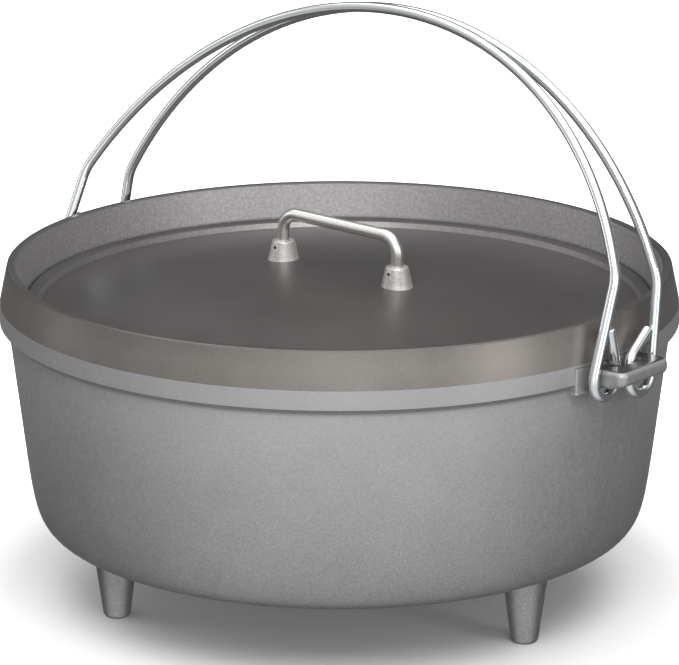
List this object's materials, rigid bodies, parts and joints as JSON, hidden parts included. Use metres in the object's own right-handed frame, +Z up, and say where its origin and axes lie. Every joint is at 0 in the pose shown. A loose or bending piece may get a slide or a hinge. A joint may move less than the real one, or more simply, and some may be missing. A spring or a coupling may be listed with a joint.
{
  "type": "footed dutch oven",
  "caption": "Round footed oven with a flat rimmed lid, a bent-rod lid handle and twin wire bails hooked through side ears.",
  "frame": {"origin": "on the floor, under the centre of the pot", "axes": "+Z up; X through the two ears, with one leg under the +X ear; -Y is the front, the side of the front bail"},
  "size_m": [0.3552, 0.3208, 0.2806],
  "materials": {
    "pot_casting": "fine blasted, satin",
    "leg_casting": "as cast, slightly bright",
    "lid_casting": "smooth, semi-matt",
    "boss_casting": "rough cast",
    "pin_steel": "dull",
    "rod_steel": "satin",
    "bail_wire": "bright plated"
  },
  "bodies": {
    "pot": {"pot_body": "pot_casting", "leg_1": "leg_casting", "leg_2": "leg_casting", "leg_3": "leg_casting"},
    "lid": {"lid": "lid_casting", "handle_boss_left": "boss_casting", "handle_boss_right": "boss_casting", "handle_pin_left": "pin_steel", "handle_pin_right": "pin_steel", "lid_handle_rod": "rod_steel"},
    "front_bail": {"front_bail": "bail_wire"},
    "rear_bail": {"rear_bail": "bail_wire"}
  },
  "joints": [
    {"name": "lid_lift", "type": "slide", "parent": "pot", "child": "lid", "axis": [0, -0.829, 0.5592], "range_m": [0, 0.4]},
    {"name": "front_bail_swing", "type": "hinge", "parent": "pot", "child": "front_bail", "pos_m": [0, -0.0134, 0.14085], "axis": [1, 0, 0], "range_deg": [0, 98]},
    {"name": "rear_bail_swing", "type": "hinge", "parent": "pot", "child": "rear_bail", "pos_m": [0, 0.0134, 0.14085], "axis": [-1, 0, 0], "range_deg": [0, 58]}
  ]
}
